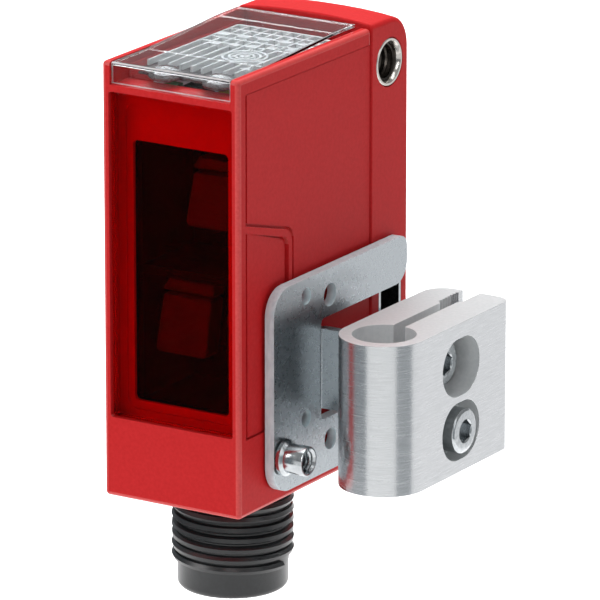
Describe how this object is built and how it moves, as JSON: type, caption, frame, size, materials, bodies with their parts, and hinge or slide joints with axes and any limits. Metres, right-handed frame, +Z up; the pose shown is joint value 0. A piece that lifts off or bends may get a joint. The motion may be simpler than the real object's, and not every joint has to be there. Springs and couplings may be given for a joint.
{
  "type": "photoelectric sensor",
  "caption": "Red compact photoelectric sensor with a round threaded plug, on a sheet bracket and an aluminium rod clamp.",
  "frame": {"origin": "on the axis of the clamp's rod bore, halfway up the clamp", "axes": "+Z up along the rod bore and the housing's height, -Y the way the optics look, +X from the sensor to the clamp"},
  "size_m": [0.0315, 0.0301, 0.0532],
  "materials": {
    "red_abs": "red glass-filled moulding, fine grain",
    "nickel_plated_brass": "nickel-plated turned sleeve",
    "steel": "bright zinc-plated steel",
    "tinted_pane": "deep red tinted acrylic pane",
    "black_plastic": "matt black moulding",
    "clear_acrylic": "clear lens",
    "red_resin": "red cast resin",
    "green_laminate": "green solder mask",
    "clear_cover": "clear polycarbonate",
    "green_resin": "green lamp resin",
    "yellow_resin": "yellow lamp resin",
    "black_polyamide": "dark grey glass-filled moulding",
    "gold": "gold-plated contact",
    "rubber": "black seal",
    "zinc_plated_sheet": "zinc-plated sheet, cut edges bright",
    "satin_aluminium": "satin brushed extrusion"
  },
  "bodies": {
    "clamp": {"clamp_block": "satin_aluminium", "clamp_screw": "steel"},
    "bracket": {"bracket_plate": "zinc_plated_sheet", "standoff": "steel", "slot_nut": "steel", "pivot_nut": "steel", "pivot_washer": "steel", "pivot_screw": "steel"},
    "slot_fixing": {"slot_screw": "steel", "slot_washer": "steel"},
    "sensor": {"housing": "red_abs", "rear_cap": "red_abs", "upper_sleeve": "nickel_plated_brass", "slot_sleeve": "steel", "front_window": "tinted_pane", "optics_carrier": "black_plastic", "emitter_lens": "clear_acrylic", "receiver_lens": "clear_acrylic", "emitter_diode": "red_resin", "receiver_diode": "black_plastic", "optics_board": "green_laminate", "main_board": "green_laminate", "controller_chip": "black_plastic", "output_driver_chip": "black_plastic", "display_board": "green_laminate", "plug_board": "green_laminate", "top_cover": "clear_cover", "light_guide": "clear_cover", "light_shield": "black_plastic", "green_led": "green_resin", "yellow_led": "yellow_resin", "plug_body": "black_polyamide", "contact_insert": "black_polyamide", "contact_1": "gold", "contact_2": "gold", "contact_3": "gold", "contact_4": "gold", "plug_seal": "rubber"}
  },
  "joints": [
    {"name": "bracket_swivel", "type": "hinge", "parent": "clamp", "child": "bracket", "pos_m": [-0.00255, 0.0069, 0.00302], "axis": [1, 0, 0], "continuous": true},
    {"name": "sensor_tilt", "type": "hinge", "parent": "bracket", "child": "slot_fixing", "pos_m": [-0.00895, 0.0159, 0.00165], "axis": [1, 0, 0], "continuous": true},
    {"name": "sensor_slide", "type": "slide", "parent": "slot_fixing", "child": "sensor", "axis": [0, 0, 1], "range_m": [-0.0048, 0.0017]}
  ]
}
